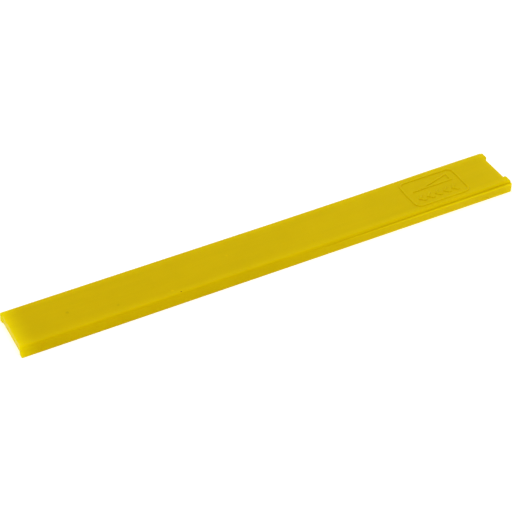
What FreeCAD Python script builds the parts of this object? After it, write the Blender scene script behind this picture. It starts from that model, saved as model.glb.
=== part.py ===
"""Plastic wedge strip: a slim hand wedge, injection moulded in one piece.

Units are millimetres.  +X runs along the strip from the plain entry end to the marked end,
+Y across it, and +Z up from the resting face.  The origin is the centre of the underside.

The strip is one moulding, so it is one node.  Its section is made of two layers: a base layer
and a narrower upper layer.  Over the entry half the sides of both layers make one straight
slope and the top is level.  From there to the marked end the top rises, the base layer swells
outwards and the upper layer steps back, so that a ledge grows along each side.
"""
import FreeCAD
import Part

import math
import os

# ---- driving dimensions ----
LENGTH = 110.0              # overall, end to end
ENTRY_THICKNESS = 2.3       # underside to top face, over the entry half
MARKED_THICKNESS = 2.65     # the same at the marked end
TOP_WIDTH = 11.1            # across the top face, measured to the sharp corners
SIDE_FLARE = 0.5            # how far each side leans out between the top face and the underside

LEDGE_DROP = 0.5            # top face down to the ledge
LEDGE_START = 58.0          # from the entry end to where the top starts to rise and the ledges to grow
LEDGE_FULL = 95.5           # from the entry end to where the ledges have their full width
WALL_LEAN = 0.03            # draft left in the wall above the full ledge

TOP_EDGE_RADIUS = 0.45      # the two long edges of the top face
FOOT_RADIUS = 0.12          # the two long edges of the underside
CORNER_RADIUS = 0.25        # the four corners, seen from above
END_EDGE_RADIUS = 0.3       # top and bottom edges of both end faces

NOTCH_DEPTH = 0.65          # shallow notch in the marked end, between two corner lobes
NOTCH_WIDTH = 7.0
NOTCH_MOUTH_RADIUS = 0.45   # the notch's outer corners
GATE_WIDTH = 1.6            # trimmed stub of the moulding gate, inside the notch
GATE_HEIGHT = 0.8
GATE_DROP = 0.6             # top face down to the stub
GATE_STUB = 0.2
HOLLOW_DEPTH = 0.25         # shallow hollow in the entry end, with sides that slope at 45 degrees
HOLLOW_WIDTH = 9.4          # across the hollow's floor

MARK_CENTRE = 94.3          # from the entry end to the centre of the raised mark
MARK_LENGTH = 13.4
MARK_WIDTH = 8.6
MARK_CORNER = 1.6
MARK_LINE = 0.42            # width of the raised lines
MARK_RELIEF = 0.16          # height of the raised lines above the top face
MARK_ROOT = 0.1             # how far the raised lines reach into the strip
DRAWN_WEDGE_LENGTH = 9.65   # the wedge drawn in the mark, seen from its side
DRAWN_WEDGE_HEIGHT = 2.58
DRAWN_WEDGE_SHIFT = 0.52    # from the mark's middle to the drawn wedge's long side
CHEVRON_COUNT = 5
CHEVRON_PITCH = 2.0
CHEVRON_REACH = 0.95        # from a chevron's tip to its ends, both ways
CHEVRON_SHIFT = -1.9        # from the mark's middle to the row of chevrons

EJECTOR_DIAMETER = 3.0      # ejector pin marks in the underside
EJECTOR_DEPTH = 0.06
EJECTOR_PLACES = (12.0, 41.0, 70.0, 98.0)

PAST = 5.0                  # how far cutters and limits reach past the strip

# ---- worked out from them ----
ENTRY_X = -LENGTH / 2
MARKED_X = LENGTH / 2
RISE_X = ENTRY_X + LEDGE_START
RISE = MARKED_THICKNESS - ENTRY_THICKNESS
RISE_ANGLE = math.degrees(math.atan2(RISE, MARKED_X - RISE_X))
TOP_HALF = TOP_WIDTH / 2
FOOT_HALF = TOP_HALF + SIDE_FLARE
SLOPE_HALF = TOP_HALF + SIDE_FLARE * LEDGE_DROP / ENTRY_THICKNESS
MARK_X = ENTRY_X + MARK_CENTRE

STATIONS = (ENTRY_X, RISE_X, ENTRY_X + LEDGE_FULL, MARKED_X)
# half widths at ledge height, one for each station
BASE_TOP_HALVES = (SLOPE_HALF, SLOPE_HALF, FOOT_HALF, FOOT_HALF)
UPPER_FOOT_HALVES = (SLOPE_HALF, SLOPE_HALF, TOP_HALF + WALL_LEAN, TOP_HALF + WALL_LEAN)


def top_z(x):
    """Height of the top face at x."""
    return ENTRY_THICKNESS + RISE * max(x - RISE_X, 0.0) / (MARKED_X - RISE_X)


def rounded_corner(before, corner, after, radius):
    """Return the arc that rounds a corner, as its start, middle and end."""
    to_before = (before - corner).normalize()
    to_after = (after - corner).normalize()
    half_angle = to_before.getAngle(to_after) / 2
    reach = radius / math.tan(half_angle)
    inward = (to_before + to_after).normalize()
    centre = corner + inward * (radius / math.sin(half_angle))
    return corner + to_before * reach, centre - inward * radius, corner + to_after * reach


def rounded_wire(corners):
    """Join corners, given as (point, radius), with straight lines and arcs."""
    count = len(corners)
    arcs = []
    for i, (corner, radius) in enumerate(corners):
        before = corners[i - 1][0]
        after = corners[(i + 1) % count][0]
        if radius > 0:
            arcs.append(rounded_corner(before, corner, after, radius))
        else:
            arcs.append((corner, None, corner))
    edges = []
    for i, (start, middle, end) in enumerate(arcs):
        if middle is not None:
            edges.append(Part.Arc(start, middle, end).toShape())
        edges.append(Part.makeLine(end, arcs[(i + 1) % count][0]))
    return Part.Wire(edges)


def tall_prism(corners):
    """Return an upright prism over corners, given as (x, y, radius), that passes the strip both ways."""
    wire = rounded_wire([(FreeCAD.Vector(x, y, -PAST), radius) for x, y, radius in corners])
    return Part.Face(wire).extrude(FreeCAD.Vector(0, 0, 2 * PAST + MARKED_THICKNESS))


def section(x, low_z, low_half, low_radius, high_z, high_half, high_radius):
    """Return one cross-section of a layer, symmetric about the middle of the strip."""
    corners = []
    for side in (1, -1):
        low = (FreeCAD.Vector(x, side * low_half, low_z), low_radius)
        high = (FreeCAD.Vector(x, side * high_half, high_z), high_radius)
        corners += (low, high) if side > 0 else (high, low)
    return rounded_wire(corners)


def layer(sections):
    """Join cross-sections with straight spans into one solid."""
    spans = [Part.makeLoft(list(pair), True, True) for pair in zip(sections, sections[1:])]
    return spans[0].fuse(spans[1:]).removeSplitter()


def corner_limit(entry_half, marked_half):
    """Return a tall prism with rounded corners that the strip is trimmed to, seen from above."""
    return tall_prism([
        (ENTRY_X, -entry_half, CORNER_RADIUS),
        (MARKED_X, -marked_half, CORNER_RADIUS),
        (MARKED_X, marked_half, CORNER_RADIUS),
        (ENTRY_X, entry_half, CORNER_RADIUS),
    ])


def base_layer():
    """The lower layer, whose upper edge swells out into the ledges."""
    sections = [
        section(x, 0, FOOT_HALF, FOOT_RADIUS, top_z(x) - LEDGE_DROP, half, 0)
        for x, half in zip(STATIONS, BASE_TOP_HALVES)
    ]
    return layer(sections).common(corner_limit(FOOT_HALF, FOOT_HALF))


def upper_layer():
    """The upper layer, with the two rounded long edges of the top face."""
    sections = [
        section(x, top_z(x) - LEDGE_DROP, half, 0, top_z(x), TOP_HALF, TOP_EDGE_RADIUS)
        for x, half in zip(STATIONS, UPPER_FOOT_HALVES)
    ]
    marked_half = UPPER_FOOT_HALVES[-1]
    marked_side = corner_limit(marked_half, marked_half)
    entry_side = corner_limit(FOOT_HALF, FOOT_HALF)
    entry_part = tall_prism([(ENTRY_X, -PAST - FOOT_HALF, 0), (0, -PAST - FOOT_HALF, 0),
                             (0, PAST + FOOT_HALF, 0), (ENTRY_X, PAST + FOOT_HALF, 0)])
    return layer(sections).common(entry_side).common(marked_side.fuse(entry_part))


def end_notch():
    """The cutter for the shallow notch in the marked end, whose mouth has rounded corners."""
    half = NOTCH_WIDTH / 2
    floor_x = MARKED_X - NOTCH_DEPTH
    wide = half + PAST
    return tall_prism([
        (floor_x, -half, 0),
        (MARKED_X, -half, NOTCH_MOUTH_RADIUS),
        (MARKED_X, -wide, 0),
        (MARKED_X + PAST, -wide, 0),
        (MARKED_X + PAST, wide, 0),
        (MARKED_X, wide, 0),
        (MARKED_X, half, NOTCH_MOUTH_RADIUS),
        (floor_x, half, 0),
    ])


def end_hollow():
    """The cutter for the shallow hollow in the entry end."""
    half = HOLLOW_WIDTH / 2
    floor_x = ENTRY_X + HOLLOW_DEPTH
    wide = half + HOLLOW_DEPTH + PAST
    return tall_prism([
        (floor_x, -half, 0),
        (floor_x, half, 0),
        (ENTRY_X - PAST, wide, 0),
        (ENTRY_X - PAST, -wide, 0),
    ])


def gate_stub():
    """What is left of the gate, low in the notch and short of the end."""
    floor_x = MARKED_X - NOTCH_DEPTH
    corner = FreeCAD.Vector(floor_x - GATE_STUB, -GATE_WIDTH / 2, MARKED_THICKNESS - GATE_DROP - GATE_HEIGHT)
    return Part.makeBox(2 * GATE_STUB, GATE_WIDTH, GATE_HEIGHT, corner)


def side_limit():
    """Return a wide prism with the strip's side view, the corners of both ends rounded."""
    y = -FOOT_HALF - PAST
    corners = [
        (FreeCAD.Vector(ENTRY_X, y, 0), END_EDGE_RADIUS),
        (FreeCAD.Vector(MARKED_X, y, 0), END_EDGE_RADIUS),
        (FreeCAD.Vector(MARKED_X, y, MARKED_THICKNESS), END_EDGE_RADIUS),
        (FreeCAD.Vector(RISE_X, y, ENTRY_THICKNESS), 0),
        (FreeCAD.Vector(ENTRY_X, y, ENTRY_THICKNESS), END_EDGE_RADIUS),
    ]
    return Part.Face(rounded_wire(corners)).extrude(FreeCAD.Vector(0, -2 * y, 0))


def ejector_marks():
    """The cutters for the shallow round marks that the ejector pins leave."""
    cutters = []
    for place in EJECTOR_PLACES:
        centre = FreeCAD.Vector(ENTRY_X + place, 0, -PAST)
        cutters.append(Part.makeCylinder(EJECTOR_DIAMETER / 2, PAST + EJECTOR_DEPTH, centre))
    return cutters


def raised(face):
    """Raise a flat figure, drawn at z = 0, and tilt it onto the rising top face."""
    figure = face.extrude(FreeCAD.Vector(0, 0, MARK_ROOT + MARK_RELIEF))
    figure.translate(FreeCAD.Vector(0, 0, top_z(MARK_X) - MARK_ROOT))
    figure.rotate(FreeCAD.Vector(MARK_X, 0, top_z(MARK_X)), FreeCAD.Vector(0, 1, 0), -RISE_ANGLE)
    return figure


def rounded_plate(length, width, radius):
    """A flat rectangle with rounded corners round the mark's centre."""
    corners = []
    for along, across in ((-1, -1), (1, -1), (1, 1), (-1, 1)):
        corners.append((FreeCAD.Vector(MARK_X + along * length / 2, across * width / 2, 0), radius))
    return Part.Face(rounded_wire(corners))


def mark_frame():
    """The plain frame of the mark."""
    outer = rounded_plate(MARK_LENGTH, MARK_WIDTH, MARK_CORNER)
    inner = rounded_plate(MARK_LENGTH - 2 * MARK_LINE, MARK_WIDTH - 2 * MARK_LINE, MARK_CORNER - MARK_LINE)
    return raised(outer.cut(inner))


def mark_wedge():
    """A wedge drawn from the side, its thin end towards the entry end."""
    thin_x = MARK_X - DRAWN_WEDGE_LENGTH / 2
    thick_x = MARK_X + DRAWN_WEDGE_LENGTH / 2
    points = [
        FreeCAD.Vector(thin_x, DRAWN_WEDGE_SHIFT, 0),
        FreeCAD.Vector(thick_x, DRAWN_WEDGE_SHIFT, 0),
        FreeCAD.Vector(thick_x, DRAWN_WEDGE_SHIFT + DRAWN_WEDGE_HEIGHT, 0),
    ]
    outer = Part.makePolygon(points + points[:1])
    inner = outer.makeOffset2D(-MARK_LINE)
    return raised(Part.Face(outer).cut(Part.Face(inner)))


def mark_chevrons():
    """A row of chevrons that point towards the entry end."""
    chevrons = []
    for i in range(CHEVRON_COUNT):
        x = MARK_X + (i - (CHEVRON_COUNT - 1) / 2) * CHEVRON_PITCH - CHEVRON_REACH / 2
        tip = FreeCAD.Vector(x, CHEVRON_SHIFT, 0)
        back = FreeCAD.Vector(CHEVRON_REACH, CHEVRON_REACH, 0)
        front = FreeCAD.Vector(CHEVRON_REACH, -CHEVRON_REACH, 0)
        along = FreeCAD.Vector(MARK_LINE * math.sqrt(2), 0, 0)
        outline = [tip, tip + back, tip + back + along, tip + along,
                   tip + front + along, tip + front, tip]
        chevrons.append(raised(Part.Face(Part.makePolygon(outline))))
    return chevrons


def wedge_strip():
    """The whole moulding."""
    body = base_layer().fuse(upper_layer()).removeSplitter()
    body = body.common(side_limit()).cut([end_notch(), end_hollow()])
    body = body.fuse(gate_stub()).cut(ejector_marks())
    body = body.fuse([mark_frame(), mark_wedge()] + mark_chevrons())
    return body.Solids[0] if len(body.Solids) == 1 else body


def report(name, shape):
    """Print the figures that show whether a shape is sound."""
    box = shape.BoundBox
    print("%s: %d solid, valid %s, %.2f x %.2f x %.2f mm, %.1f mm3" % (
        name, len(shape.Solids), shape.isValid(), box.XLength, box.YLength, box.ZLength, shape.Volume))


os.makedirs("parts", exist_ok=True)
strip = wedge_strip()
report("wedge_strip", strip)
strip.exportStep("parts/wedge_strip.step")
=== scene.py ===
# %% [markdown]
# # A moulded plastic wedge strip
#
# This lesson builds one small hand tool: a slim yellow wedge, about as long as a finger and
# thick as a coin, injection moulded in one go. There is nothing to assemble, so all the work
# goes into three things: the shape of one strip, the small raised mark on it, and a plastic
# that looks like plastic. The design itself comes from the CAD frame, which gives the size
# and the place of everything here.

# %% Load the frame
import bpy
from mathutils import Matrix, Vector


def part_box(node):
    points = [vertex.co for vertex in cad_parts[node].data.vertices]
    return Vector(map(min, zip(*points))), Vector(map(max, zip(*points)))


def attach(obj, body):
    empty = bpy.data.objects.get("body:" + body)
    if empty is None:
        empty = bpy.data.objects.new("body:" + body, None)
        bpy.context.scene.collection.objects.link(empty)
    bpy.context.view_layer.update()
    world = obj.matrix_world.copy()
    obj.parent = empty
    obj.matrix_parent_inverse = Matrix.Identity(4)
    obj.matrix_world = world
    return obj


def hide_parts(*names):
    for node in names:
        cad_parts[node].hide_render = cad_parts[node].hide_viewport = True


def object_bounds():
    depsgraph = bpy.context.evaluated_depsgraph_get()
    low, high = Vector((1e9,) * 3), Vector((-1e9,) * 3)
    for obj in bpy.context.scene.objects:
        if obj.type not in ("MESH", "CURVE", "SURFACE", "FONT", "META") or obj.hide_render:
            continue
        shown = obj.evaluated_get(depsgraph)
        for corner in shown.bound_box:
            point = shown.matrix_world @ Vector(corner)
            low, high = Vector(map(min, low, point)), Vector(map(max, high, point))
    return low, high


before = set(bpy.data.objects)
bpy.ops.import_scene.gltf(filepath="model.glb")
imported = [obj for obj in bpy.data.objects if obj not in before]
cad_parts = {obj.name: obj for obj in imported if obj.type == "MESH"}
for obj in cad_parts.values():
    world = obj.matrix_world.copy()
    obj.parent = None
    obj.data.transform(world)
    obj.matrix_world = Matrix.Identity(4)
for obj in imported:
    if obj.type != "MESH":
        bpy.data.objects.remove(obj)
cad_low, cad_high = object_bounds()
print("CAD box from", tuple(cad_low), "to", tuple(cad_high))

# %% The tools of this lesson
import math

import bmesh
import bpy
from mathutils import Vector

# %% [markdown]
# ## Camera
#
# The camera comes first, because every later choice is judged through it. It looks down on
# the strip from the near left, with a long lens, so that the strip runs from corner to corner
# of the picture with only a little perspective. It is placed by an azimuth, an elevation and
# a distance, which are easy to read and to correct.

# %% Place the camera
LENGTH_M = cad_high.x - cad_low.x
CAMERA_AZIMUTH = math.radians(-27.26)
CAMERA_ELEVATION = math.radians(40.64)
CAMERA_DISTANCE = 2.7589 * LENGTH_M
CAMERA_LENS = 107.2
LOOK_AT = Vector((-0.03542 * LENGTH_M, -0.02068 * LENGTH_M, 0.0023))


def add_camera():
    """Create the camera, aim it at LOOK_AT and make it the scene's camera."""
    data = bpy.data.cameras.new("studio_camera")
    data.lens = CAMERA_LENS
    data.sensor_width = 36.0
    data.clip_start = 0.01
    camera = bpy.data.objects.new("studio_camera", data)
    bpy.context.scene.collection.objects.link(camera)
    back = Vector((
        math.sin(CAMERA_AZIMUTH) * math.cos(CAMERA_ELEVATION),
        -math.cos(CAMERA_AZIMUTH) * math.cos(CAMERA_ELEVATION),
        math.sin(CAMERA_ELEVATION),
    ))
    camera.location = LOOK_AT + back * CAMERA_DISTANCE
    camera.rotation_euler = back.to_track_quat("Z", "Y").to_euler()
    bpy.context.scene.camera = camera
    return camera


camera = add_camera()
print("camera at", tuple(round(v, 4) for v in camera.location))

# %% [markdown]
# ## The strip's sizes
#
# The whole piece is only two millimetres thick, and several of Blender's tools merge points
# that are closer than a tenth of a millimetre. So the strip is modelled with one unit to the
# millimetre, and made smaller to true size at the very end. The outer sizes are read from the
# CAD frame. The rest are the choices of the part's designer.

# %% Sizes in millimetres
MM = 0.001
strip_low, strip_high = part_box("wedge_strip")
ENTRY_X = strip_low.x / MM
MARKED_X = strip_high.x / MM
FOOT_HALF = strip_high.y / MM
THICKNESS = 2.3
TOP_RISE = 0.35
SIDE_FLARE = 0.5
TOP_HALF = FOOT_HALF - SIDE_FLARE
LEDGE_DROP = 0.5
LEDGE_Z = THICKNESS - LEDGE_DROP
LEDGE_START_X = ENTRY_X + 58.0
LEDGE_FULL_X = ENTRY_X + 95.5
SLOPE_HALF = TOP_HALF + SIDE_FLARE * LEDGE_DROP / THICKNESS
NEAR = 0.001
print("strip %.1f mm long, %.1f mm over the feet, %.2f to %.2f mm thick" % (
    MARKED_X - ENTRY_X, 2 * FOOT_HALF, THICKNESS, THICKNESS + TOP_RISE))

# %% [markdown]
# ## Selecting by place
#
# Modelling by hand is a chain of "select this, then do that". A script does the selecting
# with a rule about where an edge or a point lies. These helpers apply such a rule in edit mode
# and then leave the edges or points selected for the next operator.

# %% Helpers that select by a rule
def start_editing(piece):
    """Make the piece the only selected object and open it in edit mode."""
    bpy.ops.object.select_all(action="DESELECT")
    piece.select_set(True)
    bpy.context.view_layer.objects.active = piece
    bpy.ops.object.mode_set(mode="EDIT")


def stop_editing():
    """Go back to object mode."""
    bpy.ops.object.mode_set(mode="OBJECT")


def select_edges(piece, rule):
    """Select the edges for which the rule is true, and return how many there are."""
    bpy.ops.mesh.select_mode(type="EDGE")
    bpy.ops.mesh.select_all(action="DESELECT")
    mesh = bmesh.from_edit_mesh(piece.data)
    chosen = [edge for edge in mesh.edges if rule(edge)]
    for edge in chosen:
        edge.select_set(True)
    bmesh.update_edit_mesh(piece.data)
    return len(chosen)


def select_points(piece, rule):
    """Select the points for which the rule is true, and return how many there are."""
    bpy.ops.mesh.select_mode(type="VERT")
    bpy.ops.mesh.select_all(action="DESELECT")
    mesh = bmesh.from_edit_mesh(piece.data)
    chosen = [point for point in mesh.verts if rule(point)]
    for point in chosen:
        point.select_set(True)
    bmesh.update_edit_mesh(piece.data)
    return len(chosen)


def add_block(name, low, high):
    """Add a cube at its size and place, and leave it as a new object."""
    low = Vector(low)
    high = Vector(high)
    bpy.ops.object.select_all(action="DESELECT")
    bpy.ops.mesh.primitive_cube_add(size=1, location=(low + high) / 2, scale=high - low)
    bpy.ops.object.transform_apply(location=True, rotation=True, scale=True)
    block = bpy.context.object
    block.name = name
    return block


def move_up(height):
    """Extrude what is selected straight up by a height, which may be zero."""
    bpy.ops.mesh.extrude_region_move(TRANSFORM_OT_translate={"value": (0, 0, height)})


# %% [markdown]
# ## The strip's body
#
# Seen from its end the strip is two layers: a base, and a slightly narrower layer on top.
# Over the entry half both sides form one straight slope, because a sloped side lets the strip
# leave its mould and slide into a gap. Towards the marked end the base swells outwards and
# the top layer steps back, so a narrow ledge grows along each side.
#
# The shape is drawn flat first and then pulled up, ring by ring. The flat outline is cut into
# short lengths where the ledge grows, so that the growth stays smooth, and along two lines
# at the top layer's width, which give the ledges something to end on. Then it is extruded
# three times: up to the ledge, by nothing at all, which makes the ledge, and up to the top.
# After each extrusion the new ring is pushed sideways to its own width. Where a ledge has no
# width its points fall together, and they are merged at the end.

# %% Draw the outline flat
LEDGE_CUTS = 13
bpy.ops.object.select_all(action="DESELECT")
bpy.ops.mesh.primitive_plane_add(size=1, location=((ENTRY_X + MARKED_X) / 2, 0, 0))
strip = bpy.context.object
strip.name = "wedge_strip_moulding"
strip.scale = (MARKED_X - ENTRY_X, 2 * FOOT_HALF, 1)
bpy.ops.object.transform_apply(location=True, rotation=True, scale=True)
start_editing(strip)
for i in range(LEDGE_CUTS):
    cut_x = LEDGE_START_X + (LEDGE_FULL_X - LEDGE_START_X) * i / (LEDGE_CUTS - 1)
    bpy.ops.mesh.select_all(action="SELECT")
    bpy.ops.mesh.bisect(plane_co=(cut_x, 0, 0), plane_no=(1, 0, 0))
for cut_y in (-TOP_HALF, TOP_HALF):
    bpy.ops.mesh.select_all(action="SELECT")
    bpy.ops.mesh.bisect(plane_co=(0, cut_y, 0), plane_no=(0, 1, 0))
stop_editing()
print("flat outline:", len(strip.data.polygons), "faces")


# %% Widths along the strip
def ledge_growth(x):
    """How far the ledge has grown at x, from 0 at the entry end to 1."""
    return min(max((x - LEDGE_START_X) / (LEDGE_FULL_X - LEDGE_START_X), 0.0), 1.0)


def base_half(x):
    """Half the width of the base layer at ledge height."""
    return SLOPE_HALF + (FOOT_HALF - SLOPE_HALF) * ledge_growth(x)


def upper_half(x):
    """Half the width of the upper layer at ledge height."""
    return SLOPE_HALF + (TOP_HALF - SLOPE_HALF) * ledge_growth(x)


def pull_up(piece, height, old_half, new_half):
    """Extrude the selected faces and move the new ring's sides from one width to another."""
    bpy.ops.mesh.extrude_region_move(TRANSFORM_OT_translate={"value": (0, 0, height)})
    mesh = bmesh.from_edit_mesh(piece.data)
    for point in mesh.verts:
        if point.select and abs(point.co.y) > TOP_HALF + NEAR:
            inwards = old_half(point.co.x) - new_half(point.co.x)
            point.co.y -= math.copysign(inwards, point.co.y)
    bmesh.update_edit_mesh(piece.data)


# %% Pull the outline up, ring by ring
FLAT_ANGLE = math.radians(0.05)
start_editing(strip)
bpy.ops.mesh.select_mode(type="FACE")
bpy.ops.mesh.select_all(action="SELECT")
pull_up(strip, LEDGE_Z, lambda x: FOOT_HALF, base_half)
pull_up(strip, 0, base_half, upper_half)
pull_up(strip, LEDGE_DROP, upper_half, lambda x: TOP_HALF)
bpy.ops.mesh.select_all(action="SELECT")
bpy.ops.mesh.remove_doubles(threshold=NEAR)
bpy.ops.mesh.normals_make_consistent(inside=False)
bpy.ops.mesh.dissolve_limited(angle_limit=FLAT_ANGLE)
stop_editing()
print("two layers:", len(strip.data.polygons), "faces")

# %% [markdown]
# ## The two ends
#
# Between two corner lobes the marked end has a shallow notch. On such a moulding this is
# where the plastic was let in: the gate is broken off there, and its stub stays below the
# outline of the part. The entry end is hollowed in the same way, but only by a quarter of a
# millimetre, so that it meets an edge with its two corners. Each is made by subtracting a
# block. The notch's block has square corners and the hollow's has sloping ones.

# %% Cut the notch and the hollow
NOTCH_DEPTH = 0.65
NOTCH_HALF = 3.5
NOTCH_MOUTH = 0.45
NOTCH_FLOOR_X = MARKED_X - NOTCH_DEPTH
HOLLOW_DEPTH = 0.25
HOLLOW_HALF = 4.7
PAST = 1.0


def is_upright(edge):
    """True for an edge that climbs, and doesn't run along the strip."""
    one, other = edge.verts[0].co, edge.verts[1].co
    return abs(one.x - other.x) < NEAR and abs(one.z - other.z) > 0.1


def at_x(edge, x):
    """True for an edge that lies at x."""
    return all(abs(point.co.x - x) < NEAR for point in edge.verts)


def combine(piece, other, operation):
    """Apply a boolean between a piece and another object, and remove the other."""
    modifier = piece.modifiers.new("combine", "BOOLEAN")
    modifier.operation = operation
    modifier.object = other
    modifier.solver = "EXACT"
    bpy.ops.object.select_all(action="DESELECT")
    bpy.context.view_layer.objects.active = piece
    bpy.ops.object.modifier_apply(modifier=modifier.name)
    bpy.data.objects.remove(other)


cutter = add_block("notch_cutter", (NOTCH_FLOOR_X, -NOTCH_HALF, -PAST),
                   (MARKED_X + PAST, NOTCH_HALF, THICKNESS + PAST))
combine(strip, cutter, "DIFFERENCE")
cutter = add_block("hollow_cutter", (ENTRY_X - PAST, -HOLLOW_HALF, -PAST),
                   (ENTRY_X + HOLLOW_DEPTH, HOLLOW_HALF, THICKNESS + PAST))
start_editing(cutter)
for side in (-1, 1):
    select_points(cutter, lambda p: p.co.x < ENTRY_X and p.co.y * side > 0)
    bpy.ops.transform.translate(value=(0, side * (PAST + HOLLOW_DEPTH), 0))
stop_editing()
combine(strip, cutter, "DIFFERENCE")
start_editing(strip)
found = select_edges(strip, lambda e: is_upright(e) and at_x(e, MARKED_X)
                     and abs(abs(e.verts[0].co.y) - NOTCH_HALF) < NEAR)
bpy.ops.mesh.bevel(offset=NOTCH_MOUTH, segments=8, affect="EDGES", clamp_overlap=False)
stop_editing()
print(found, "mouth edges rounded:", len(strip.data.polygons), "faces")

# %% [markdown]
# ## Rounding the edges
#
# The light on a small plastic part lives on its edges: each one is a thin bright or dark
# line. Different edges have different radii, so every edge gets a bevel weight, which is its
# share of the largest radius, and one Bevel modifier then rounds them all at once. The rule
# says which family an edge belongs to. The ledge's own edge starts with almost no radius,
# because there the ledge has almost no width.

# %% A helper that rounds edges by a rule
def round_edges(piece, radius_of, largest, segments):
    """Round each edge to the radius that the rule gives it, and return how many were rounded."""
    mesh = bmesh.new()
    mesh.from_mesh(piece.data)
    layer = mesh.edges.layers.float.get("bevel_weight_edge")
    layer = layer or mesh.edges.layers.float.new("bevel_weight_edge")
    count = 0
    for edge in mesh.edges:
        creased = len(edge.link_faces) == 2 and edge.calc_face_angle(0) > math.radians(20)
        edge[layer] = radius_of(edge) / largest if creased else 0
        count += edge[layer] > 0
    mesh.to_mesh(piece.data)
    mesh.free()
    bpy.ops.object.select_all(action="DESELECT")
    bpy.context.view_layer.objects.active = piece
    rounding = piece.modifiers.new("rounding", "BEVEL")
    rounding.limit_method = "WEIGHT"
    rounding.width = largest
    rounding.segments = segments
    rounding.use_clamp_overlap = False
    bpy.ops.object.modifier_apply(modifier=rounding.name)
    return count


def at_height(edge, z):
    """True for an edge that lies at height z."""
    return all(abs(point.co.z - z) < NEAR for point in edge.verts)


# %% Round the outline, the ledges and the foot
ROUND_TOP = 0.45
ROUND_ENDS = 0.3
ROUND_CORNERS = 0.25
ROUND_LEDGE = 0.12
ROUND_FOOT = 0.12
LEDGE_SHARE = 0.3
LEDGE_LEAST = 0.03


def outline_radius(edge):
    """The radius of an edge of the strip's body."""
    one, other = edge.verts[0].co, edge.verts[1].co
    middle = (one + other) / 2
    if at_height(edge, 0):
        return ROUND_FOOT
    if at_height(edge, THICKNESS):
        return ROUND_TOP if abs(middle.y) > TOP_HALF - NEAR else ROUND_ENDS
    if is_upright(edge):
        return ROUND_CORNERS if abs(middle.y) > TOP_HALF - NEAR else 0.0
    ledge_width = base_half(middle.x) - upper_half(middle.x)
    if at_height(edge, LEDGE_Z) and edge.is_convex and ledge_width > LEDGE_LEAST:
        return min(ROUND_LEDGE, LEDGE_SHARE * ledge_width)
    return 0.0


rounded = round_edges(strip, outline_radius, ROUND_TOP, 6)
print(rounded, "edges rounded:", len(strip.data.polygons), "faces")

# %% [markdown]
# ## The stub of the gate
#
# The stub is a small block with soft edges that sits in the notch. It is rounded as a block
# of its own and then joined to the strip.

# %% Add the gate's stub
GATE_HALF = 0.8
GATE_LOW_Z = 1.05
GATE_HIGH_Z = 1.72
GATE_STUB = 0.2
GATE_ROOT = 0.5
GATE_ROUND = 0.06
gate = add_block("gate_stub", (NOTCH_FLOOR_X - GATE_ROOT, -GATE_HALF, GATE_LOW_Z),
                 (NOTCH_FLOOR_X + GATE_STUB, GATE_HALF, GATE_HIGH_Z))
start_editing(gate)
bpy.ops.mesh.select_all(action="SELECT")
bpy.ops.mesh.bevel(offset=GATE_ROUND, segments=3, affect="EDGES")
stop_editing()
combine(strip, gate, "UNION")
print("after the notch:", len(strip.data.polygons), "faces")

# %% [markdown]
# ## The raised mark
#
# Many mouldings carry a mark that is raised by a fraction of a millimetre, because it costs
# nothing: the line is simply engraved in the mould. This one is a plain drawing of what the
# tool is for: a frame, a wedge seen from its side, and a row of chevrons that point to the
# end that goes in first. It has no letters. The frame and the wedge are flat faces that are
# inset, lose their middle, and are extruded upwards. Each chevron is a flat strip, bent at its
# middle and extruded upwards. The figures start a little below the top face, so that the
# union with the strip is a clean cut.

# %% Sizes of the mark
MARK_X = ENTRY_X + 94.3
MARK_LENGTH = 13.4
MARK_WIDTH = 8.6
MARK_CORNER = 1.6
MARK_LINE = 0.42
MARK_RELIEF = 0.16
MARK_ROOT = 0.3
MARK_ROUND = 0.07
MARK_FLOOR = THICKNESS - MARK_ROOT


def raise_figure(piece):
    """Raise the flat figure being edited, and round the edges of its top."""
    bpy.ops.mesh.select_all(action="SELECT")
    move_up(MARK_ROOT + MARK_RELIEF)
    bpy.ops.mesh.select_all(action="SELECT")
    bpy.ops.mesh.normals_make_consistent(inside=False)
    top_z = THICKNESS + MARK_RELIEF
    select_edges(piece, lambda e: at_height(e, top_z) and e.calc_face_angle(0) > 1)
    bpy.ops.mesh.bevel(offset=MARK_ROUND, segments=3, affect="EDGES")


def raise_outline(piece):
    """Turn the flat face being edited into a raised line along its outline."""
    bpy.ops.mesh.select_mode(type="FACE")
    bpy.ops.mesh.select_all(action="SELECT")
    bpy.ops.mesh.inset(thickness=MARK_LINE, use_even_offset=True)
    bpy.ops.mesh.delete(type="FACE")
    raise_figure(piece)


# %% The frame
bpy.ops.object.select_all(action="DESELECT")
bpy.ops.mesh.primitive_plane_add(size=1, location=(MARK_X, 0, MARK_FLOOR))
mark_frame = bpy.context.object
mark_frame.scale = (MARK_LENGTH, MARK_WIDTH, 1)
bpy.ops.object.transform_apply(location=True, rotation=True, scale=True)
start_editing(mark_frame)
bpy.ops.mesh.select_all(action="SELECT")
bpy.ops.mesh.bevel(offset=MARK_CORNER, segments=8, affect="VERTICES")
raise_outline(mark_frame)
stop_editing()
print("frame:", len(mark_frame.data.polygons), "faces")

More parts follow.
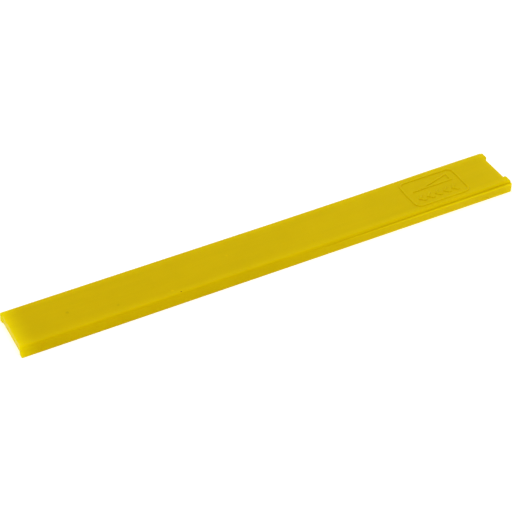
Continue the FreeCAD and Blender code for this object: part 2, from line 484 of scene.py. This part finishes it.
# %% The wedge, seen from its side
WEDGE_LENGTH = MARK_LENGTH * 0.72
WEDGE_HEIGHT = MARK_WIDTH * 0.30
WEDGE_BASE_Y = MARK_WIDTH * 0.06
wedge_corners = [
    Vector((MARK_X - WEDGE_LENGTH / 2, WEDGE_BASE_Y, MARK_FLOOR)),
    Vector((MARK_X + WEDGE_LENGTH / 2, WEDGE_BASE_Y, MARK_FLOOR)),
    Vector((MARK_X + WEDGE_LENGTH / 2, WEDGE_BASE_Y + WEDGE_HEIGHT, MARK_FLOOR)),
]
bpy.ops.object.select_all(action="DESELECT")
bpy.ops.mesh.primitive_circle_add(vertices=3, radius=1, fill_type="NGON", location=(0, 0, 0))
mark_wedge = bpy.context.object
for point, corner in zip(mark_wedge.data.vertices, wedge_corners):
    point.co = corner
start_editing(mark_wedge)
raise_outline(mark_wedge)
stop_editing()
print("wedge drawing:", len(mark_wedge.data.polygons), "faces")

# %% The chevrons: one is modelled, the rest are copies
CHEVRONS = 5
CHEVRON_PITCH = MARK_LENGTH * 0.15
CHEVRON_REACH = MARK_WIDTH * 0.11
CHEVRON_LINE = MARK_LINE * math.sqrt(2)
CHEVRON_Y = -MARK_WIDTH * 0.22
first_x = MARK_X - CHEVRON_PITCH * (CHEVRONS - 1) / 2
bpy.ops.object.select_all(action="DESELECT")
bpy.ops.mesh.primitive_plane_add(size=1, location=(first_x + CHEVRON_LINE / 2, CHEVRON_Y, MARK_FLOOR))
mark_chevrons = bpy.context.object
mark_chevrons.scale = (CHEVRON_LINE, 2 * CHEVRON_REACH, 1)
bpy.ops.object.transform_apply(location=True, rotation=True, scale=True)
start_editing(mark_chevrons)
bpy.ops.mesh.select_all(action="SELECT")
bpy.ops.mesh.bisect(plane_co=(0, CHEVRON_Y, 0), plane_no=(0, 1, 0))
select_edges(mark_chevrons, lambda e: all(abs(v.co.y - CHEVRON_Y) < NEAR for v in e.verts))
bpy.ops.transform.translate(value=(-CHEVRON_REACH, 0, 0))
raise_figure(mark_chevrons)
stop_editing()
row = mark_chevrons.modifiers.new("row", "ARRAY")
row.count = CHEVRONS
row.use_relative_offset = False
row.use_constant_offset = True
row.constant_offset_displace = (CHEVRON_PITCH, 0, 0)
bpy.ops.object.modifier_apply(modifier=row.name)
print("chevrons:", len(mark_chevrons.data.polygons), "faces")

# %% Add the mark to the strip
bpy.ops.object.select_all(action="DESELECT")
for figure in (mark_frame, mark_wedge, mark_chevrons):
    figure.select_set(True)
bpy.context.view_layer.objects.active = mark_frame
bpy.ops.object.join()
combine(strip, mark_frame, "UNION")
print("with the mark:", len(strip.data.polygons), "faces")

# %% [markdown]
# ## The underside
#
# Ejector pins push the part out of its mould, and each leaves a faint round mark. They are on
# the face that nobody looks at, so a flat strip like this one has a row of them underneath.
# Four thin cylinders are subtracted, a twentieth of a millimetre deep.

# %% Ejector marks
EJECTOR_RADIUS = 1.5
EJECTOR_DEPTH = 0.06
EJECTOR_PLACES = (12.0, 41.0, 70.0, 98.0)
for place in EJECTOR_PLACES:
    bpy.ops.object.select_all(action="DESELECT")
    bpy.ops.mesh.primitive_cylinder_add(
        vertices=48, radius=EJECTOR_RADIUS, depth=2, location=(ENTRY_X + place, 0, EJECTOR_DEPTH - 1))
    pin = bpy.context.object
    bpy.ops.object.transform_apply(location=True, rotation=True, scale=True)
    combine(strip, pin, "DIFFERENCE")
print("with the ejector marks:", len(strip.data.polygons), "faces")

# %% [markdown]
# ## The wedge itself
#
# So far the strip is level, which kept every rule about heights simple. The design is level
# only over its entry half. From there its top rises by a third of a millimetre, and that is
# what makes it a wedge. The mesh is cut across where the rise starts. Then every point beyond
# the cut is lifted in proportion to how far along it is. The ledge and everything above it is
# lifted in full, and what lies below the ledge less and less, so that the underside stays flat.

# %% Raise the marked half
start_editing(strip)
bpy.ops.mesh.select_all(action="SELECT")
bpy.ops.mesh.bisect(plane_co=(LEDGE_START_X, 0, 0), plane_no=(1, 0, 0))
mesh = bmesh.from_edit_mesh(strip.data)
for point in mesh.verts:
    if point.co.x > LEDGE_START_X:
        share = (point.co.x - LEDGE_START_X) / (MARKED_X - LEDGE_START_X)
        point.co.z += TOP_RISE * share * min(point.co.z / LEDGE_Z, 1.0)
bmesh.update_edit_mesh(strip.data)
stop_editing()
print("highest point %.3f mm" % max(point.co.z for point in strip.data.vertices))

# %% [markdown]
# ## True size and smooth shading
#
# The large faces have many corners by now, so they are cut into triangles while the strip is
# still large, which leaves nothing to chance. Then it shrinks to its true size. Rounded edges are
# shaded smooth, and the weighted normals give the large flat faces the last word, so that
# they stay flat right up to the start of each rounding. Then the piece is put in the frame:
# it rides on the one body there is, and takes the place of the CAD node.

# %% Shrink, smooth and place the strip
SMOOTH_ANGLE = math.radians(40)
start_editing(strip)
bpy.ops.mesh.select_all(action="SELECT")
bpy.ops.mesh.quads_convert_to_tris(quad_method="BEAUTY", ngon_method="BEAUTY")
stop_editing()
strip.scale = (MM, MM, MM)
bpy.ops.object.transform_apply(location=True, rotation=True, scale=True)
bpy.ops.object.shade_smooth_by_angle(angle=SMOOTH_ANGLE)
flatten = strip.modifiers.new("flatten", "WEIGHTED_NORMAL")
flatten.keep_sharp = True
flatten.weight = 100
bpy.ops.object.modifier_apply(modifier=flatten.name)
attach(strip, "root")
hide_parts("wedge_strip")
print("strip in true size:", tuple(round(v, 5) for v in strip.dimensions))

# %% [markdown]
# ## The plastic
#
# The material stands for a yellow moulding plastic such as acetal or nylon, coloured all the
# way through: warm, a little waxy, and slightly see-through where it is thin. Close up it isn't
# one colour. There is a slow cloudiness from the way the melt flowed, a fine grain from the
# mould's texture, a few hairline scratches from use, and some dark specks.
#
# A painted texture would do, but it would be fixed to one size. Here each of these is a
# small group of nodes that is driven by the place on the strip in millimetres, and each one
# makes the colour a few percent lighter or darker.

# %% Helpers that add shader nodes
def start_material(name):
    """Create a node material and return it, its node tree and its shader."""
    material = bpy.data.materials.new(name)
    material.use_nodes = True
    tree = material.node_tree
    return material, tree, tree.nodes["Principled BSDF"]


def add_node(tree, kind, settings=None, **inputs):
    """Add a node, set its properties and sockets, and link the sockets that are given."""
    node = tree.nodes.new(kind)
    for key, value in (settings or {}).items():
        setattr(node, key, value)
    for key, value in inputs.items():
        socket = node.inputs[int(key[1:])] if key[0] == "n" and key[1:].isdigit() else node.inputs[key]
        if isinstance(value, bpy.types.NodeSocket):
            tree.links.new(value, socket)
        else:
            socket.default_value = value
    return node


def add_math(tree, operation, *values):
    """Add a Math node and return its result."""
    inputs = {"n%d" % i: value for i, value in enumerate(values)}
    return add_node(tree, "ShaderNodeMath", {"operation": operation}, **inputs).outputs[0]


def add_range(tree, value, low, high, new_low, new_high):
    """Map a value from one range to another, clamped and smooth at both ends."""
    settings = {"interpolation_type": "SMOOTHSTEP"}
    node = add_node(tree, "ShaderNodeMapRange", settings,
                    Value=value, n1=low, n2=high, n3=new_low, n4=new_high)
    return node.outputs[0]


def add_noise(tree, place, scale, detail=2.0, roughness=0.5):
    """Add a noise and return its value, from 0 to 1."""
    node = add_node(tree, "ShaderNodeTexNoise", None,
                    Vector=place, Scale=scale, Detail=detail, Roughness=roughness)
    return node.outputs["Fac"]


def add_stretch(tree, place, turn, scale):
    """Turn the place about Z and then scale it, so that a noise becomes lines."""
    turned = add_node(tree, "ShaderNodeVectorRotate", {"rotation_type": "Z_AXIS"}, Vector=place, Angle=turn)
    scaled = add_node(tree, "ShaderNodeVectorMath", {"operation": "MULTIPLY"}, n0=turned.outputs[0], n1=scale)
    return scaled.outputs[0]


print("helpers for shader nodes are ready")

# %% Start the plastic: where am I, in millimetres
plastic, nodes, shader = start_material("yellow_moulded_plastic")
coordinates = nodes.nodes.new("ShaderNodeTexCoord")
millimetres = add_node(nodes, "ShaderNodeVectorMath", {"operation": "SCALE"},
                       n0=coordinates.outputs["Object"])
millimetres.inputs["Scale"].default_value = 1 / MM
place = millimetres.outputs[0]
axes = add_node(nodes, "ShaderNodeSeparateXYZ", None, n0=place)
along, across, height = axes.outputs
print("plastic started")

# %% Cloudiness, flow lines and grain
clouds = add_range(nodes, add_noise(nodes, place, 0.16, 3.0), 0.3, 0.7, 0.985, 1.015)
flow_place = add_stretch(nodes, place, 0.0, (0.05, 0.9, 0.9))
flow = add_range(nodes, add_noise(nodes, flow_place, 1.0, 3.0), 0.3, 0.7, 0.988, 1.012)
grain = add_range(nodes, add_noise(nodes, place, 5.0, 2.0), 0.25, 0.75, 0.985, 1.015)
shade = add_math(nodes, "MULTIPLY", add_math(nodes, "MULTIPLY", clouds, flow), grain)
print("clouds, flow lines and grain")

# %% Hairline scratches
SCRATCH_TURNS = (0.12, -0.35, 1.9)
scratches = None
for turn in SCRATCH_TURNS:
    lines = add_noise(nodes, add_stretch(nodes, place, turn, (0.07, 5.0, 1.0)), 1.0, 1.0)
    thin = add_range(nodes, lines, 0.74, 0.80, 0.0, 1.0)
    patches = add_range(nodes, add_noise(nodes, place, 0.11 + turn * 0.01, 1.0), 0.48, 0.62, 0.0, 1.0)
    group = add_math(nodes, "MULTIPLY", thin, patches)
    scratches = group if scratches is None else add_math(nodes, "MAXIMUM", scratches, group)
scratch_light = add_math(nodes, "MULTIPLY_ADD", scratches, 0.05, 1.0)
shade = add_math(nodes, "MULTIPLY", shade, scratch_light)
print(len(SCRATCH_TURNS), "directions of scratches")

# %% Specks
speck_cells = add_node(nodes, "ShaderNodeTexVoronoi", None, Vector=place, Scale=0.33)
chosen = add_math(nodes, "GREATER_THAN", add_node(
    nodes, "ShaderNodeSeparateXYZ", None, n0=speck_cells.outputs["Color"]).outputs[0], 0.82)
near_centre = add_range(nodes, speck_cells.outputs["Distance"], 0.03, 0.06, 1.0, 0.0)
specks = add_math(nodes, "MULTIPLY", chosen, near_centre)
print("specks")

# %% Marks of use: along, across, radius and how much lighter or darker
WEAR = (
    (-43.5, -0.5, 0.45, -0.15),
    (-34.0, -3.0, 0.40, -0.10),
    (-23.0, -4.0, 0.40, 0.12),
    (-9.0, 0.5, 0.35, 0.09),
)
UNDERSIDE_LIMIT_Z = 1.0
flattened = add_node(nodes, "ShaderNodeVectorMath", {"operation": "MULTIPLY"}, n0=place, n1=(1, 1, 0))
flat_place = flattened.outputs[0]
near_top = add_math(nodes, "GREATER_THAN", height, UNDERSIDE_LIMIT_Z)
for mark_x, mark_y, radius, strength in WEAR:
    away = add_node(nodes, "ShaderNodeVectorMath", {"operation": "DISTANCE"},
                    n0=flat_place, n1=(mark_x, mark_y, 0))
    dot = add_range(nodes, away.outputs["Value"], radius * 0.3, radius, strength, 0.0)
    shade = add_math(nodes, "MULTIPLY", shade, add_math(nodes, "MULTIPLY_ADD", dot, near_top, 1.0))
print(len(WEAR), "marks of use")

# %% [markdown]
# The ends, rims and edges should look lighter and more lemon than the broad faces. Some of that
# can be light that comes through the plastic, and some can be lamps and reflections: from one
# viewpoint nobody can tell them apart. Here all of it is painted into the colour as painted
# light: a painted glow at the ends, painted highlights along the top edges, the ledge's rim and
# the foot, and a strip that is painted lighter towards its marked end. The sides of the entry
# half get painted shade. The strengths were tuned for the main camera, so from other sides the
# margins look painted. Each margin is an amount from 0 to 1 that fades over a millimetre or so,
# and the amounts add up to one mixing factor between the plain colour and a lit one.

# %% Helpers that add up margins
def add_fade(value, start, full, power=1.0):
    """Return an amount that is 0 at start and grows to 1 at full."""
    settings = {"interpolation_type": "LINEAR"}
    node = add_node(nodes, "ShaderNodeMapRange", settings, Value=value, n1=start, n2=full, n3=0.0, n4=1.0)
    return add_math(nodes, "POWER", node.outputs[0], power)


def add_amounts(*amounts):
    """Add up pairs of an amount and the strength that it counts with."""
    total = 0.0
    for value, strength in amounts:
        total = add_math(nodes, "MULTIPLY_ADD", value, strength, total)
    return total


print("helpers for margins are ready")

# %% Painted light at the two ends and along the long top edges
# Painted light: a painted glow at the entry end and the marked end, painted highlights along the long top
# edges, and the whole strip painted lighter towards the marked end.
ENTRY_LIGHT = 0.86
MARKED_LIGHT = 0.24
EDGE_LIGHT = 0.15
RISING_LIGHT = 0.17
sideways = add_math(nodes, "ABSOLUTE", across)
entry_margin = add_fade(along, ENTRY_X + 4.3, ENTRY_X + 0.1, 1.8)
marked_margin = add_fade(along, MARKED_X - 2.2, MARKED_X - 0.6)
rising = add_fade(along, ENTRY_X + 30.0, MARKED_X)
on_top = add_fade(sideways, TOP_HALF - 0.05, TOP_HALF - 0.3)
edge_margin = add_math(nodes, "MULTIPLY", on_top, add_fade(sideways, TOP_HALF - 1.9, TOP_HALF - 0.8))
print("margins of the top face")

# %% Painted light on the sides, with the rim of the ledge and the foot
# Painted light: the sides painted lighter where the ledge has grown, a painted highlight on the rim of the
# ledge, and painted bounce light at the foot.
SIDE_LIGHT = 0.08
RIM_LIGHT = 0.34
FOOT_LIGHT = 0.48
on_side = add_math(nodes, "SUBTRACT", 1.0, on_top)
grown_side = add_math(nodes, "MULTIPLY", on_side, add_fade(along, LEDGE_START_X - 8.0, LEDGE_FULL_X - 6.0))
outside = add_math(nodes, "MULTIPLY", grown_side, add_fade(sideways, TOP_HALF + 0.2, TOP_HALF + 0.4))
rim_z = add_math(nodes, "MULTIPLY_ADD", rising, TOP_RISE, LEDGE_Z)
above_rim = add_math(nodes, "SUBTRACT", height, rim_z)
rim_margin = add_math(nodes, "MULTIPLY", outside, add_fade(above_rim, -0.35, -0.1))
foot_margin = add_math(nodes, "MULTIPLY", grown_side, add_fade(height, 0.45, 0.15))
print("margins of the sides")

# %% Add them up: the painted light, and painted shade on the sides
# The sides are darkened with painted shade, which fades out where the ledge has grown.
PAINTED_SIDE_SHADE = 0.945
GROWN_SIDE_SHADE_LIFT = 0.045
painted_light_amount = add_amounts((entry_margin, ENTRY_LIGHT), (marked_margin, MARKED_LIGHT), (rising, RISING_LIGHT),
                   (edge_margin, EDGE_LIGHT), (grown_side, SIDE_LIGHT), (rim_margin, RIM_LIGHT),
                   (foot_margin, FOOT_LIGHT))
painted_side_shade = add_amounts((on_top, 1.0), (on_side, PAINTED_SIDE_SHADE), (grown_side, GROWN_SIDE_SHADE_LIFT))
# The plastic's own tone is multiplied here by the painted side shade.
shade = add_math(nodes, "MULTIPLY", shade, painted_side_shade)
print("light margins at the ends, the edges and the ledges")

# %% Colour, gloss and surface of the plastic
PLASTIC = (0.573, 0.406, 0.0002, 1.0)
LIT_PLASTIC = (0.78, 0.63, 0.0002, 1.0)
SPECK = (0.22, 0.12, 0.004, 1.0)
# The painted light mixes the plain colour towards a lit copy of the same plastic. Then the tone and the
# painted side shade scale it.
lit = add_node(nodes, "ShaderNodeMix", {"data_type": "RGBA"}, n0=painted_light_amount, n6=PLASTIC, n7=LIT_PLASTIC)
shaded = add_node(nodes, "ShaderNodeVectorMath", {"operation": "SCALE"}, n0=lit.outputs[2])
nodes.links.new(shade, shaded.inputs["Scale"])
colour = add_node(nodes, "ShaderNodeMix", {"data_type": "RGBA"}, n0=specks, n6=shaded.outputs[0], n7=SPECK)
nodes.links.new(colour.outputs[2], shader.inputs["Base Color"])
gloss_noise = add_noise(nodes, place, 1.2, 3.0)
gloss = add_math(nodes, "MULTIPLY_ADD", scratches, 0.12, add_range(nodes, gloss_noise, 0.3, 0.7, 0.36, 0.46))
nodes.links.new(gloss, shader.inputs["Roughness"])
shader.inputs["IOR"].default_value = 1.48
shader.inputs["Specular IOR Level"].default_value = 0.04
shader.inputs["Specular Tint"].default_value = (1.0, 0.86, 0.02, 1.0)
shader.inputs["Subsurface Weight"].default_value = 0.35
shader.inputs["Subsurface Radius"].default_value = (1.0, 0.7, 0.05)
shader.inputs["Subsurface Scale"].default_value = 1.6 * MM
satin = add_noise(nodes, place, 9.0, 2.0)
satin_bump = add_node(nodes, "ShaderNodeBump", None, Strength=0.35, Distance=0.012 * MM, Height=satin)
waves = add_noise(nodes, add_stretch(nodes, place, 0.0, (0.12, 0.25, 0.25)), 1.0, 1.0)
wave_bump = add_node(nodes, "ShaderNodeBump", None, Strength=0.5, Distance=0.12 * MM, Height=waves)
nodes.links.new(satin_bump.outputs[0], wave_bump.inputs["Normal"])
scratch_bump = add_node(nodes, "ShaderNodeBump", {"invert": True},
                        Strength=0.4, Distance=0.02 * MM, Height=scratches)
nodes.links.new(wave_bump.outputs[0], scratch_bump.inputs["Normal"])
nodes.links.new(scratch_bump.outputs[0], shader.inputs["Normal"])
strip.data.materials.clear()
strip.data.materials.append(plastic)
print("plastic has", len(nodes.nodes), "nodes")

# %% [markdown]
# ## Floor and light
#
# Small parts are often shown in a light tent: white cloth on all sides and a white sheet
# below. Everything is lit from everywhere, so there is almost no shadow and the surface shows
# its own colour. The world is that cloth, and the floor is the sheet. One large soft lamp
# above makes the top a little brighter than the sides, and painted shade in the plastic's
# colour darkens the sides of the entry half a little more.

# %% Floor
FLOOR_SIZE = 3.0
bpy.ops.object.select_all(action="DESELECT")
bpy.ops.mesh.primitive_plane_add(size=FLOOR_SIZE, location=(0, 0, 0))
floor = bpy.context.object
floor.name = "studio_floor"
paper, paper_nodes, paper_shader = start_material("white_paper")
paper_shader.inputs["Roughness"].default_value = 0.9
paper_shader.inputs["Specular IOR Level"].default_value = 0.1
paper_shader.inputs["Emission Color"].default_value = (1.0, 1.0, 1.0, 1.0)
paper_shader.inputs["Emission Strength"].default_value = 0.25
paper_place = paper_nodes.nodes.new("ShaderNodeTexCoord").outputs["Object"]
paper_tone = add_range(paper_nodes, add_noise(paper_nodes, paper_place, 60.0, 2.0), 0.2, 0.8, 0.95, 0.97)
paper_colour = add_node(paper_nodes, "ShaderNodeCombineColor", None,
                        n0=paper_tone, n1=paper_tone, n2=paper_tone)
paper_nodes.links.new(paper_colour.outputs[0], paper_shader.inputs["Base Color"])
floor.data.materials.append(paper)
print("floor", FLOOR_SIZE, "m square")

# %% World and lamps
WORLD_STRENGTH = 0.88
world = bpy.data.worlds.new("light_tent")
world.use_nodes = True
backdrop = world.node_tree.nodes["Background"]
backdrop.inputs["Color"].default_value = (1.0, 1.0, 1.0, 1.0)
backdrop.inputs["Strength"].default_value = WORLD_STRENGTH
bpy.context.scene.world = world


def add_lamp(name, place, target, size, power):
    """Add a square soft lamp that points at the target."""
    data = bpy.data.lights.new(name, "AREA")
    data.size = size
    data.energy = power
    lamp = bpy.data.objects.new(name, data)
    bpy.context.scene.collection.objects.link(lamp)
    lamp.location = place
    direction = Vector(target) - Vector(place)
    lamp.rotation_euler = direction.to_track_quat("-Z", "Y").to_euler()
    return lamp


add_lamp("soft_top", (0.0, -0.1, 0.9), (0, 0, 0), 0.35, 1.5)
print("world at", WORLD_STRENGTH, "and one lamp")

# %% View settings
bpy.context.scene.view_settings.view_transform = "Standard"
bpy.context.scene.view_settings.look = "None"
print("view transform:", bpy.context.scene.view_settings.view_transform)
